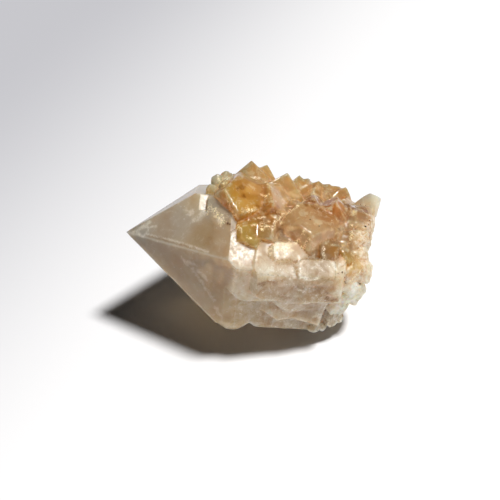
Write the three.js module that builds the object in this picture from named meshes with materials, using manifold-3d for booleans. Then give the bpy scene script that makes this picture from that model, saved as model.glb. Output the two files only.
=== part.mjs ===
// A spirit quartz cluster: a large quartz point lying on its side, its prism grown over with small crystals.
// Amber crystals crown the upper sides, pale crystals parallel to the large one step up the front, and the root
// is broken off. It all grew together, so it is one solid. Millimetres, +Z up, +X from the point to the root.
import * as THREE from "three";
import { ConvexGeometry } from "three/addons/geometries/ConvexGeometry.js";
import { mergeVertices } from "three/addons/utils/BufferGeometryUtils.js";
import Module from "manifold-3d";

const wasm = await Module();
wasm.setup();

// ---- driving dimensions -------------------------------------------------------------------------
const TIP_HEIGHT = 24; // the tip of the large point, above the surface that the cluster lies on
const PITCH = 4.5; // degrees that the slices across the point are turned up
const YAW = 3; // degrees that they are turned to the back
const LEAN = { up: 0.225, forwards: 0.268 }; // how far a slice is moved, for each millimetre nearer to the tip
const POINT_START = 1.1; // where the large point's faces meet, behind the tip that all places are measured from
const POINT_SLOPE = 37.8; // degrees between a pyramid face of the large point and its axis
const QUARTZ_SLOPE = 38.2; // the same on an ordinary quartz crystal
const ROOT_TOP = 50.6; // from the tip to the broken end, along the axis, at the top of the cluster
const ROOT_FOOT = 46; // the same at the bottom
const ROOT_TILT = 0.2; // how steeply the broken end faces downwards
const ROOT_RIM = 3; // how much further back the crystals round the broken end reach
const ROOT_DEPTH = 7; // how far from the axis the small crystals are rooted
const WORN = 0.9; // how much is worn off the tips that the cluster rests on

// The underside is broken off along rough faces: how far behind the tip and how high above the surface each one
// is, in the middle, and how steeply it falls towards the root and towards the back.
const UNDERSIDE = [
  { at: 26, height: 1.6, fall: -0.06, backfall: 0.08 },
  { at: 40, height: 1.7, fall: 0.08, backfall: -0.06 },
];

// The large point's six sides: the way each faces, in degrees round the axis from straight up over the front,
// and its distance from the axis.
const POINT_SIDES = [
  { way: 31, out: 16.5 },
  { way: 91, out: 16.5 },
  { way: 151, out: 15.4 },
  { way: 211, out: 15 },
  { way: 271, out: 14 },
  { way: 331, out: 10.6 },
];

// The crystals that are placed one by one. `at` is the tip: how far behind the large point's tip, the way it
// faces from the axis, and how far out. The crystal points to `way`, leaning `lean` degrees to the large tip.
const CROWN = [
  { name: "peak", at: [25.3, -17, 18.8], way: -8, lean: 6, width: 9, turn: 87, blunt: 0.22 },
  { name: "second peak", at: [28.7, -23, 17.8], way: -14, lean: -10, width: 7, turn: 83, blunt: 0.12 },
  { name: "third peak", at: [33, -9, 18.1], way: -6, lean: -6, width: 9.6, turn: 82, blunt: 0.18 },
  { name: "deep amber", at: [24, 33, 18.9], way: 66, lean: 4, width: 11, long: 12, turn: 15, blunt: 0.24 },
  { name: "amber heart", at: [30.4, 26, 19.6], way: 40, lean: -6, width: 11.4, turn: 100, blunt: 0.2 },
  { name: "amber foot", at: [27.9, 52, 18.8], way: 80, lean: -24, width: 6, long: 9, turn: 40, blunt: 0.1 },
  { name: "amber toe", at: [30.6, 46, 19.4], way: 70, lean: -10, width: 8.4, long: 10, turn: 72, blunt: 0.2 },
  { name: "beige", at: [38.6, 42, 21.2], way: 50, lean: 2, width: 12.6, turn: 28, blunt: 0.08, slope: 50 },
  { name: "dark gap", at: [38.7, 14, 18.2], way: 14, lean: 0, width: 5.6, turn: 80, blunt: 0.1 },
  { name: "orange", at: [43.3, 20, 20], way: 16, lean: -4, width: 7, turn: 80, blunt: 0.2 },
  { name: "orange foot", at: [44.2, 36, 19.2], way: 30, lean: -10, width: 6, turn: 40, blunt: 0.2 },
  { name: "brown", at: [46.6, 20, 18.6], way: 16, lean: -16, width: 5.6, turn: 80, blunt: 0.14 },
  { name: "root side", at: [46, 44, 18.8], way: 50, lean: -18, width: 5.8, turn: 60, blunt: 0.3 },
  { name: "ridge 1", at: [35.9, -31, 16], way: -30, lean: -4, width: 4.6, turn: 0, blunt: 0.2 },
  { name: "ridge 2", at: [37.9, -31, 15.7], way: -34, lean: -12, width: 4.4, turn: 33, blunt: 0.2 },
  { name: "ridge 3", at: [40.2, -27, 15.5], way: -24, lean: -6, width: 6.2, turn: 12, blunt: 0.3 },
  { name: "ridge 4", at: [42.6, -26, 15.2], way: -20, lean: -14, width: 6, turn: 48, blunt: 0.3 },
  { name: "ridge 5", at: [44.7, -20, 15.2], way: -12, lean: -20, width: 5, turn: 25, blunt: 0.2 },
  { name: "back peak", at: [46.1, -15, 15.6], way: -8, lean: -18, width: 6, turn: 85, blunt: 0.1 },
  { name: "corner", at: [53.8, -5, 15.3], way: -4, lean: -40, width: 5, turn: 20, blunt: 0.35 },
  { name: "corner root", at: [51.4, 8, 15.2], way: 10, lean: -30, width: 5.5, turn: 60, blunt: 0.3 },
  { name: "left 1", at: [17.7, -3, 14.4], way: 0, lean: 4, width: 2.4, turn: 10, blunt: 0.1 },
  { name: "left 2", at: [18.7, -14, 15.4], way: -8, lean: 2, width: 2.7, turn: 65, blunt: 0.3 },
  { name: "left 3", at: [20.4, -20, 15.8], way: -16, lean: 2, width: 2.8, turn: 20, blunt: 0.2 },
  { name: "left 4", at: [20.7, 12, 17.2], way: 56, lean: 6, width: 3.2, long: 8, turn: 30, blunt: 0.2 },
  { name: "left 5", at: [20.4, -1, 15.2], way: 4, lean: 4, width: 3, turn: 0, blunt: 0.1 },
  { name: "left 6", at: [20.8, -8, 15.9], way: -2, lean: 0, width: 3, turn: 15, blunt: 0.1 },
  { name: "brown wedge", at: [41.2, 55, 20.2], way: 78, lean: 24, width: 5, long: 9, turn: 10, blunt: 0.2 },
  { name: "honey block", at: [47, 56, 20.2], way: 66, lean: -8, width: 5.6, turn: 5, blunt: 0.2 },
  { name: "honey seat", at: [44.6, 60, 20.6], way: 74, lean: 4, width: 5.6, turn: 35, blunt: 0.1 },
];

// The front is stepped: crystals nearly parallel to the large one, each standing a little further out than
// the one before it. `sides` are the distances from the axis of its faces to the ways 331, 31, 91 and 151,
// `start` is where its sides facing 31 and 91 begin, behind the large point's tip, and `skew` turns it, in
// degrees, about the ways 91 and 31 and about the axis.
const STEP_DEPTH = 8; // how much narrower than the large point a step's hidden sides leave it
const STEPS = [
  { name: "bright step", start: [22.6, 24.4], sides: [8, 16.7, 18.1, 8.6], end: 34 },
  { name: "second step", start: [28.2, 28.9], sides: [5, 17.2, 19.4, 8.2], end: 40, skew: [2, -3, 3] },
  { name: "upper second", start: [31, 31.6], sides: [4, 17.7, 17, 4], end: 38, skew: [-4, 5, 6] },
  { name: "lower second", start: [30.4, 32.6], sides: [-4, 14.8, 19.6, 9.4], end: 42, skew: [5, 6, -8] },
  { name: "third step", start: [36.6, 36.9], sides: [1.8, 18.3, 19.9, 3.4], end: 44, skew: [1, 2, 1] },
  { name: "lower third", start: [35, 36.6], sides: [-3, 14.4, 19.6, 8.4], end: 45, skew: [-6, 7, 9] },
  { name: "fourth step", start: [41, 42], sides: [0.6, 17.4, 19.6, 6], end: 47, skew: [6, -9, 8] },
  { name: "low step", start: [27, 30], sides: [-8, 9, 16.6, 14.2], end: 39, skew: [4, 8, 12] },
  { name: "root step", start: [32, 37.4], sides: [-7, 9.6, 17, 13.6], end: 45, skew: [-5, -7, 10] },
];

// The crystals that the cluster rests on: how far behind the tip, and which way they point.
const FEET = [
  { at: [25.5, 173], width: 6.4, turn: 20, blunt: 0.3 },
  { at: [33.5, 168], width: 7, turn: 70, blunt: 0.3 },
  { at: [28, 196], width: 6.6, turn: 10, blunt: 0.3 },
  { at: [23, 187], width: 5.4, turn: 30, blunt: 0.3 },
  { at: [39, 160], width: 7, turn: 50, blunt: 0.3 },
];

// Where the rest of the sides is coated with crystals in rows: between which ways and which distances from the
// tip they stand, how far apart they are, and how far they stand out.
const COATS = [
  { name: "upper coat", ways: [-36, 12], alongs: [30, 46], gap: 4.4, stand: [1.6, 3], widths: [4.8, 6.6] },
  { name: "right coat", ways: [12, 62], alongs: [42, 48], gap: 4, stand: [1, 2.2], widths: [4.4, 6] },
  { name: "shoulder", ways: [-38, -2], alongs: [19.4, 24], gap: 3.4, stand: [0.8, 1.6], widths: [3, 4.2] },
  { name: "under coat", ways: [156, 214], alongs: [20, 26], gap: 5.6, stand: [1, 2], widths: [5.6, 7.4] },
  { name: "back coat", ways: [222, 308], alongs: [22, 46], gap: 5.2, stand: [2, 4], widths: [5.6, 8] },
];

// The rounded lobe on the lower front shoulder: its middle, placed like a tip, and its half sizes.
const LOBE = { at: [24.4, 121, 14.6], size: [4.6, 4.4, 4.4] };
// The notch in the lower front edge beside it: its deepest place is `deep` inside the middle, `half` wide.
const NOTCH = { at: [28.1, 121, 17.9], half: 4, deep: 3.6 };
// The bright ledge in the pyramid, just before the shoulder: from where to where, how far out, and how far up.
const LEDGE = { from: 15.1, to: 17.3, out: 11.3, above: 7.6 };
// The lumps on the broken end: how many are scattered over it and stand round its rim, and their half sizes.
const SCATTERED = { count: 26, sizes: [2.4, 4] };
const RIM = { count: 22, ways: [18, 258], sizes: [2.6, 4] };
// The lumps that bulge at the lower front of the root: their middles, placed like a tip.
const BULGES = [
  { at: [49.1, 65, 14.2], size: 3.6 },
  { at: [48.2, 78, 13.5], size: 3.7 },
  { at: [46.8, 90, 13.4], size: 3.4 },
];
// The lumps under the cluster: also how far behind the tip, and how far behind the axis, they lie.
const UNDER = { count: 24, alongs: [24, 47], asides: [-5, 13], sizes: [2, 3.4] };

// ---- the growth frame: along the large point's axis, and round it -------------------------------
const rad = THREE.MathUtils.degToRad;
const towardsTip = new THREE.Vector3(
  -Math.cos(rad(PITCH)) * Math.cos(rad(YAW)),
  Math.cos(rad(PITCH)) * Math.sin(rad(YAW)),
  Math.sin(rad(PITCH)),
);
const backwards = towardsTip.clone().negate();
const tip = new THREE.Vector3(0, 0, TIP_HEIGHT);
const worldUp = new THREE.Vector3(0, 0, 1);
const upwards = worldUp.clone().addScaledVector(towardsTip, -towardsTip.z).normalize();
const frontwards = new THREE.Vector3().crossVectors(upwards, towardsTip).normalize();

// The direction square to the axis that faces a way, in degrees round it.
function outwards(way) {
  return new THREE.Vector3()
    .addScaledVector(upwards, Math.cos(rad(way)))
    .addScaledVector(frontwards, Math.sin(rad(way)));
}

// The place that is `along` behind the tip on the axis and `out` from the axis, on the side that faces `way`.
function place(along, way, out) {
  return tip.clone().addScaledVector(towardsTip, -along).addScaledVector(outwards(way), out);
}

// The lean is a shear, and it comes last. Until then the surface that the cluster rests on slopes up towards
// the root.
const lean = new THREE.Matrix4().set(1, 0, 0, 0, LEAN.forwards, 1, 0, 0, -LEAN.up, 0, 1, 0, 0, 0, 0, 1);
const down = new THREE.Vector3(LEAN.up, 0, -1);

function heightOf(point) {
  return -down.dot(point);
}

// A number from 0 to 1 that looks random and is the same on every run.
function chance(n, k) {
  const wave = Math.sin(n * 127.1 + k * 311.7) * 43758.5453;
  return wave - Math.floor(wave);
}

function between(range, part) {
  return range[0] + (range[1] - range[0]) * part;
}

// ---- solids -------------------------------------------------------------------------------------
const NEARLY = 1e-6;

function solidOf(geometry) {
  const bare = geometry.index ? geometry.toNonIndexed() : geometry.clone();
  bare.deleteAttribute("normal");
  bare.deleteAttribute("uv");
  const merged = mergeVertices(bare, 1e-4);
  return new wasm.Manifold(
    new wasm.Mesh({
      numProp: 3,
      vertProperties: merged.attributes.position.array,
      triVerts: new Uint32Array(merged.index.array),
    }),
  );
}

// A plane that faces `normal` and goes through `point`; the solid is behind it.
function plane(normal, point) {
  const facing = normal.clone().normalize();
  return { normal: facing, reach: facing.dot(point) };
}

// The convex solid behind a set of planes: its corners are where three of them meet.
function solidInside(planes) {
  const corners = [];
  for (let i = 0; i < planes.length; i++)
    for (let j = i + 1; j < planes.length; j++)
      for (let k = j + 1; k < planes.length; k++) {
        const [a, b, c] = [planes[i], planes[j], planes[k]];
        const bc = new THREE.Vector3().crossVectors(b.normal, c.normal);
        const volume = a.normal.dot(bc);
        if (Math.abs(volume) < NEARLY) continue;
        const corner = bc
          .multiplyScalar(a.reach)
          .addScaledVector(new THREE.Vector3().crossVectors(c.normal, a.normal), b.reach)
          .addScaledVector(new THREE.Vector3().crossVectors(a.normal, b.normal), c.reach)
          .divideScalar(volume);
        const inside = planes.every(({ normal, reach }) => normal.dot(corner) < reach + NEARLY);
        if (inside && corners.every((other) => other.distanceTo(corner) > 1e-4)) corners.push(corner);
      }
  return solidOf(new ConvexGeometry(corners));
}

// How far it is from a place to the nearest of some planes, in some direction.
function reachOf(planes, from, direction) {
  return Math.min(
    ...planes
      .filter(({ normal }) => normal.dot(direction) > NEARLY)
      .map(({ normal, reach }) => (reach - normal.dot(from)) / normal.dot(direction)),
  );
}

// The pyramid face above a side: it slopes from the side's own direction towards where the crystal points.
function pyramidNormal(side, axis, slope) {
  return side
    .clone()
    .multiplyScalar(Math.cos(rad(slope)))
    .addScaledVector(axis, Math.sin(rad(slope)));
}

// ---- crystals -----------------------------------------------------------------------------------
// A quartz crystal: six sides, and a point of three large faces with three smaller ones between them. `width` is
// across flats, `turn` spins it from facing the large tip, and `blunt` is how much further out, as a part of the
// width, the three smaller faces start.
function crystal({ point, axis, width, long, turn = 0, blunt = 0.03, slope = QUARTZ_SLOPE }) {
  const side = towardsTip.clone().addScaledVector(axis, -axis.dot(towardsTip)).normalize();
  const other = new THREE.Vector3().crossVectors(axis, side);
  const planes = [plane(axis.clone().negate(), point.clone().addScaledVector(axis, -long))];
  for (let n = 0; n < 6; n++) {
    const angle = rad(turn + 60 * n);
    const face = new THREE.Vector3()
      .addScaledVector(side, Math.cos(angle))
      .addScaledVector(other, Math.sin(angle));
    const steep = pyramidNormal(face, axis, slope);
    const further = n % 2 ? blunt * width : 0;
    planes.push(plane(face, point.clone().addScaledVector(face, width / 2)));
    planes.push(plane(steep, point.clone().addScaledVector(steep, further)));
  }
  return solidInside(planes);
}

// A small crystal on the large point. It is rooted ROOT_DEPTH from the axis, unless `long` says otherwise.
function shoot({ at, way = at[1], lean = 0, long = at[2] - ROOT_DEPTH, ...shape }) {
  const axis = outwards(way)
    .multiplyScalar(Math.cos(rad(lean)))
    .addScaledVector(towardsTip, Math.sin(rad(lean)));
  return crystal({ point: place(...at), axis, long, ...shape });
}

// A crystal underneath, whose tip would be WORN below the surface that the cluster rests on.
function foot({ at: [along, way], ...shape }) {
  const height = heightOf(place(along, way, 0));
  return shoot({ at: [along, way, (height + WORN) / down.dot(outwards(way))], ...shape });
}

// Crystals in staggered rows round the large point, each a little out of line.
function coat({ ways, alongs, gap, stand, widths }, seed) {
  const rows = Math.round((alongs[1] - alongs[0]) / gap);
  const made = [];
  for (let row = 0; row <= rows; row++) {
    const middle = place(between(alongs, row / rows), 0, 0);
    const girth = rad(ways[1] - ways[0]) * reachOf(pointPlanes, middle, outwards(between(ways, 0.5)));
    const columns = Math.round(girth / gap);
    const stagger = (row % 2) / 2 - 0.25;
    for (let column = 0; column <= columns; column++) {
      const n = seed * 1000 + row * 40 + column;
      const way = between(ways, (column + stagger + 0.6 * (chance(n, 1) - 0.5)) / columns);
      const along = between(alongs, (row + 0.6 * (chance(n, 2) - 0.5)) / rows);
      const skin = reachOf(pointPlanes, place(along, 0, 0), outwards(way));
      made.push(
        shoot({
          at: [along, way, skin + between(stand, chance(n, 3))],
          way: way + 24 * (chance(n, 4) - 0.5),
          lean: 8 + 36 * (chance(n, 5) - 0.5),
          width: between(widths, chance(n, 6)),
          turn: 120 * chance(n, 7),
          blunt: 0.05 + 0.35 * chance(n, 8),
        }),
      );
    }
  }
  return made;
}

// ---- the stepped front --------------------------------------------------------------------------
function step({ start, sides, end, skew = [0, 0, 0] }) {
  const middle = place((start[0] + end) / 2, 61, sides[1] - 4);
  const turned = new THREE.Quaternion()
    .setFromAxisAngle(outwards(91), rad(skew[0]))
    .multiply(new THREE.Quaternion().setFromAxisAngle(outwards(31), rad(skew[1])))
    .multiply(new THREE.Quaternion().setFromAxisAngle(towardsTip, rad(skew[2])));
  const skewed = (normal, point) => {
    const moved = point.clone().sub(middle).applyQuaternion(turned).add(middle);
    return plane(normal.clone().applyQuaternion(turned), moved);
  };
  const faces = [
    { way: 331, out: sides[0], from: start[0] + 0.5 },
    { way: 31, out: sides[1], from: start[0] },
    { way: 91, out: sides[2], from: start[1] },
    { way: 151, out: sides[3], from: start[1] + 1 },
    { way: 211, out: STEP_DEPTH - sides[1], from: start[0] },
    { way: 271, out: STEP_DEPTH - sides[2], from: start[1] },
  ];
  const planes = faces.flatMap(({ way, out, from }) => {
    const side = outwards(way);
    const steep = pyramidNormal(side, towardsTip, QUARTZ_SLOPE);
    return [skewed(side, place(from, way, out)), skewed(steep, place(from, way, out))];
  });
  return solidInside([...planes, skewed(backwards, place(end, 0, 0))]);
}

function lobe() {
  const lump = new THREE.IcosahedronGeometry(1, 1);
  lump.scale(...LOBE.size).translate(...place(...LOBE.at).toArray());
  return solidOf(lump);
}

function notch() {
  const cut = new THREE.ConeGeometry(NOTCH.half, NOTCH.deep * 2, 4, 1);
  const inwards = outwards(NOTCH.at[1]).negate();
  cut.applyQuaternion(new THREE.Quaternion().setFromUnitVectors(new THREE.Vector3(0, 1, 0), inwards));
  return solidOf(cut.translate(...place(...NOTCH.at).toArray()));
}

function ledge() {
  const opening = 5;
  return solidInside([
    plane(outwards(211), place(LEDGE.from, 31, LEDGE.out)),
    plane(backwards, place(LEDGE.to, 0, 0)),
    plane(outwards(151), place(LEDGE.from, 331, LEDGE.above)),
    plane(towardsTip, place(LEDGE.from - opening, 0, 0)),
    plane(outwards(31), place(LEDGE.from, 31, LEDGE.out + opening)),
    plane(outwards(331), place(LEDGE.from, 331, LEDGE.above + 2 * opening)),
  ]);
}

// ---- the broken root ----------------------------------------------------------------------------
// It is broken along two rough faces: one behind, and a slanting one below it. `further` moves them back.
function brokenFaces(further) {
  const behind = backwards.clone().addScaledVector(upwards, -ROOT_TILT);
  const below = backwards.clone().multiplyScalar(0.55).addScaledVector(outwards(132), 0.85);
  return [
    plane(behind, place(ROOT_TOP + further, 0, 14)),
    plane(below, place(ROOT_FOOT + further, 132, 15)),
  ];
}

function brokenUnderside() {
  return UNDERSIDE.map(({ at, height, fall, backfall }) => {
    const middle = place(at, 0, 0);
    middle.z += height - heightOf(middle);
    return plane(down.clone().add(new THREE.Vector3(-fall, -backfall, 0)), middle);
  });
}

// A lump: a convex block whose faces point every way, each broken off at its own distance.
function lump(middle, size, n) {
  const faces = 13;
  const planes = [];
  for (let face = 0; face < faces; face++) {
    const height = 1 - (2 * face + 1) / faces;
    const angle = 2.4 * face + 6 * chance(n, 12);
    const flat = Math.sqrt(1 - height * height);
    const tilted = height + 0.5 * (chance(n, 20 + face) - 0.5);
    const normal = new THREE.Vector3(flat * Math.cos(angle), flat * Math.sin(angle), tilted).normalize();
    const distance = size * (0.62 + 0.38 * chance(n, 40 + face));
    planes.push(plane(normal, middle.clone().addScaledVector(normal, distance)));
  }
  return solidInside(planes);
}

function root() {
  const made = [];
  const ends = brokenFaces(0);
  const middle = place(30, 0, 0);
  for (let n = 0; n < SCATTERED.count; n++) {
    const side = outwards(137.5 * n);
    const size = between(SCATTERED.sizes, chance(n, 11));
    const out = reachOf(pointPlanes, middle, side) * 0.84 * Math.sqrt((n + 0.5) / SCATTERED.count);
    const at = middle.clone().addScaledVector(side, out);
    made.push(lump(at.addScaledVector(backwards, reachOf(ends, at, backwards) - 0.35 * size), size, n));
  }
  for (let n = 0; n < RIM.count; n++) {
    const side = outwards(between(RIM.ways, n / RIM.count));
    const size = between(RIM.sizes, chance(n, 16));
    const out = reachOf(pointPlanes, middle, side) + 0.5 + chance(n, 17) - 0.8 * size;
    const at = middle.clone().addScaledVector(side, out);
    const back = reachOf(ends, at, backwards) + 0.2 - 0.5 * size - 1.2 * chance(n, 18);
    made.push(lump(at.addScaledVector(backwards, back), size, 100 + n));
  }
  BULGES.forEach(({ at, size }, n) => made.push(lump(place(...at), size, 300 + n)));
  return made;
}

// The lumps under the cluster, some of which reach the surface that it rests on.
function under() {
  const made = [];
  for (let n = 0; n < UNDER.count; n++) {
    const size = between(UNDER.sizes, chance(n, 61));
    const at = place(between(UNDER.alongs, (n + 0.5) / UNDER.count), 0, 0);
    at.y += between(UNDER.asides, (n * 0.618) % 1);
    at.z += (0.45 + 0.5 * chance(n, 62)) * size - heightOf(at);
    made.push(lump(at, size, 200 + n));
  }
  return made;
}

// ---- the large point ----------------------------------------------------------------------------
const pointPlanes = [
  ...POINT_SIDES.flatMap(({ way, out }) => {
    const side = outwards(way);
    return [
      plane(side, tip.clone().addScaledVector(side, out)),
      plane(pyramidNormal(side, towardsTip, POINT_SLOPE), place(POINT_START, 0, 0)),
    ];
  }),
  ...brokenFaces(0),
];

// ---- the cluster --------------------------------------------------------------------------------
const joined = (solids) => solids.reduce((sum, solid) => sum.add(solid));
const FAR = 100;
const outerBox = [
  plane(new THREE.Vector3(1, 0, 0), new THREE.Vector3(FAR, 0, 0)),
  plane(new THREE.Vector3(-1, 0, 0), new THREE.Vector3(-FAR, 0, 0)),
  plane(new THREE.Vector3(0, 1, 0), new THREE.Vector3(0, FAR, 0)),
  plane(new THREE.Vector3(0, -1, 0), new THREE.Vector3(0, -FAR, 0)),
  plane(worldUp, new THREE.Vector3(0, 0, FAR)),
  plane(down, new THREE.Vector3(0, 0, 0)),
];
const grown = joined([
  solidInside(pointPlanes).subtract(ledge()),
  ...CROWN.map(shoot),
  ...COATS.flatMap(coat),
  ...STEPS.map(step),
  lobe(),
]);
const unbroken = [...outerBox, ...brokenUnderside()];
const broken = joined([
  grown.intersect(solidInside([...unbroken, ...brokenFaces(ROOT_RIM)])).subtract(notch()),
  joined(root()).intersect(solidInside(unbroken)),
]);
const resting = joined([broken, ...FEET.map(foot), ...under()]).intersect(solidInside(outerBox));

// A gap that crystals close on every side is filled, by keeping only the outer shell.
const whole = resting.decompose().reduce((outer, shell) => (shell.volume() > outer.volume() ? shell : outer));

const made = whole.getMesh();
const geometry = new THREE.BufferGeometry();
geometry.setAttribute("position", new THREE.BufferAttribute(made.vertProperties, 3));
geometry.setIndex(new THREE.BufferAttribute(made.triVerts, 1));
geometry.applyMatrix4(lean);
geometry.computeVertexNormals();
geometry.computeBoundingBox();

const cluster = new THREE.Mesh(
  geometry,
  new THREE.MeshStandardMaterial({ color: 0xb39a78, roughness: 0.2, metalness: 0 }),
);
cluster.name = "quartz_cluster";

// The origin is under the middle of the cluster, on the surface that it rests on.
const centre = geometry.boundingBox.getCenter(new THREE.Vector3());
cluster.position.set(-centre.x, -centre.y, 0);

const group = new THREE.Group();
group.add(cluster);

export default group;
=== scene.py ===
# %% [markdown]
# # A spirit quartz cluster
# The specimen is one large smoky quartz point that lies on its side. Its prism is crusted with small amber
# crystals on top and pale ones in front, and its root is broken off. Its solid is loaded as a fixed frame,
# and everything here dresses that solid: the script never moves or resizes it.

# %% The frame
import math
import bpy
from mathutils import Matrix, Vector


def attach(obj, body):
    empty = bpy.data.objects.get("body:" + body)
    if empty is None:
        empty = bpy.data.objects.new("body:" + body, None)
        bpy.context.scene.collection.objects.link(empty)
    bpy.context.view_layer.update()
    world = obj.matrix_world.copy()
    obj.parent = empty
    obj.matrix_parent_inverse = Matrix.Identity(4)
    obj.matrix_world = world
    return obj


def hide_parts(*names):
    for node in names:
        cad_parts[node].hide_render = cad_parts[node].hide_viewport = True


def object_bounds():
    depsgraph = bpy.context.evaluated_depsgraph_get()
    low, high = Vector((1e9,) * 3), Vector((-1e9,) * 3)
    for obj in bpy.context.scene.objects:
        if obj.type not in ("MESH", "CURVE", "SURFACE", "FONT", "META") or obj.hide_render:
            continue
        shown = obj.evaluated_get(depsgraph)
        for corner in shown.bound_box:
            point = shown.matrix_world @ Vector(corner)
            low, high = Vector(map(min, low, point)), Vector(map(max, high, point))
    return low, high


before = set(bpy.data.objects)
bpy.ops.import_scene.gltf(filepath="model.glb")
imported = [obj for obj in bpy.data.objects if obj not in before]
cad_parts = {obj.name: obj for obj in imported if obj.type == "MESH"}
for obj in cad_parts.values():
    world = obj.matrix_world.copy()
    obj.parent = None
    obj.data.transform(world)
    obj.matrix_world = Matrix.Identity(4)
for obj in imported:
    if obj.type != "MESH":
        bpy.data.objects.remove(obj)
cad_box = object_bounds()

from types import SimpleNamespace

import bmesh
import bpy
import numpy as np
from mathutils import Vector, noise
from mathutils.bvhtree import BVHTree

MM = 0.001
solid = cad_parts["quartz_cluster"]
extent = [round(v / MM, 1) for v in cad_box[1] - cad_box[0]]
print("frame:", len(solid.data.polygons), "faces,", extent, "mm")

# %% [markdown]
# ## Finding the way round the specimen
# The large point's axis is the natural ruler of this object: how far behind the tip something is, which way
# round the axis it faces, and how far it stands out from the point's own six sides. All three can be worked
# out for every vertex at once with numpy, which is far quicker than a loop in Python. The specimen leans
# along its length, as its solid was built, so every measurement first undoes that lean.

# %% The axis of the large point
PITCH = math.radians(4.5)  # the slices across the point are turned up by this much
YAW = math.radians(3)  # and to the back by this much
LEAN = np.array([[1, 0, 0], [0.268, 1, 0], [-0.225, 0, 1]])  # later slices lie further back and down
RULER_START = 1.1  # mm from the ruler's zero, just ahead of the tip, to where the large point's faces meet

towards_tip = np.array([-math.cos(PITCH) * math.cos(YAW), math.cos(PITCH) * math.sin(YAW), math.sin(PITCH)])
upwards = np.array([0, 0, 1]) - towards_tip * towards_tip[2]
upwards /= np.linalg.norm(upwards)
frontwards = np.cross(upwards, towards_tip)
apex = np.array(min((v.co for v in solid.data.vertices), key=lambda co: co.x)) / MM
zero = apex + LEAN @ towards_tip * RULER_START
print("ruler: zero at", zero.round(1), "mm")

# %% Measuring with the ruler
# the way that each side of the large point faces: how far it is from the axis, in mm
SIDES = {31: 16.5, 91: 16.5, 151: 15.4, 211: 15, 271: 14, 331: 10.6}


def outwards(way):
    """The direction square to the axis that faces a way, in degrees from straight up over the front."""
    return upwards * math.cos(math.radians(way)) + frontwards * math.sin(math.radians(way))


def place(along, way, out):
    """A point in metres: `along` mm behind the tip and `out` mm from the axis."""
    return Vector((zero + LEAN @ (outwards(way) * out - towards_tip * along)) * MM)


def away_from(points, spot):
    """How far points in metres are from a place, in mm."""
    return np.linalg.norm(points - np.array(place(*spot)), axis=1) / MM


def facing(normals, way):
    """How directly faces with these normals face a way: 1 for a side of the large point that faces it."""
    square = normals @ LEAN
    return square @ outwards(way) / np.linalg.norm(square, axis=1)


def ruler(points):
    """For points in metres: mm behind the tip, the way they face, and mm out from the large point's sides."""
    away = (np.asarray(points) / MM - zero) @ np.linalg.inv(LEAN).T
    along = -away @ towards_tip
    way = np.degrees(np.arctan2(away @ frontwards, away @ upwards))
    out = np.max([away @ outwards(side) - reach for side, reach in SIDES.items()], axis=0)
    return along, way, out


def smooth(low, high, value):
    """0 below low, 1 above high, and an S-shaped step between. It falls instead where low is the larger."""
    part = np.clip((value - low) / (high - low), 0, 1)
    return part * part * (3 - 2 * part)


root_end = ruler([v.co for v in solid.data.vertices])[0].max()
print("ruler: the root ends", round(float(root_end), 1), "mm behind the tip")

# %% [markdown]
# ## Telling the crystals apart
# Every crystal is convex, so its faces meet each other at edges that point outwards, and two crystals meet in
# a groove. Walking from face to face without crossing a groove finds the faces of one crystal. Walking only
# between faces that lie in one plane finds one flat facet. Each crystal can then have a colour of its own and
# each facet a shade of its own, as in grown quartz, where every facet shows another part of the inside.

# %% Sorting the faces into crystals and facets
GROOVE_ANGLE = math.radians(-1)  # an edge that bends inwards by more than this is a groove
FLAT_ANGLE = math.radians(1.5)  # two faces that bend by less than this lie in one facet


def sort_faces(mesh, together):
    """Number the faces so that neighbours share a number where `together` says so of their edge."""
    number = [-1] * len(mesh.faces)
    count = 0
    for face in mesh.faces:
        if number[face.index] >= 0:
            continue
        number[face.index] = count
        waiting = [face]
        while waiting:
            for edge in waiting.pop().edges:
                if len(edge.link_faces) != 2 or not together(edge.calc_face_angle_signed(0)):
                    continue
                for other in edge.link_faces:
                    if number[other.index] < 0:
                        number[other.index] = count
                        waiting.append(other)
        count += 1
    return np.array(number), count


sorted_mesh = bmesh.new()
sorted_mesh.from_mesh(solid.data)
bmesh.ops.remove_doubles(sorted_mesh, verts=sorted_mesh.verts, dist=1e-7)
sorted_mesh.faces.ensure_lookup_table()
crystal_of, crystal_count = sort_faces(sorted_mesh, lambda angle: angle >= GROOVE_ANGLE)
facet_of, facet_count = sort_faces(sorted_mesh, lambda angle: abs(angle) < FLAT_ANGLE)
print("crystals:", crystal_count, "facets:", facet_count)

# %% The size and the middle of each
SLIVER = 1e-12  # square metres: a smaller area counts as this much, so that it can be divided by

face_area = np.array([f.calc_area() for f in sorted_mesh.faces])
face_middle = np.array([f.calc_center_median() for f in sorted_mesh.faces])
face_normal = np.array([f.normal for f in sorted_mesh.faces])


def areas_and_middles(number, count):
    """The area of each group of faces that share a number, and the middle of that area."""
    area = np.maximum(np.bincount(number, face_area, count), SLIVER)
    sums = [np.bincount(number, face_area * face_middle[:, axis], count) for axis in range(3)]
    return area, np.stack(sums, axis=1) / area[:, None]


crystal_area, crystal_middle = areas_and_middles(crystal_of, crystal_count)
facet_area, facet_middle = areas_and_middles(facet_of, facet_count)
print("the large point has", round(100 * crystal_area.max() / crystal_area.sum()), "% of the surface")
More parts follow.
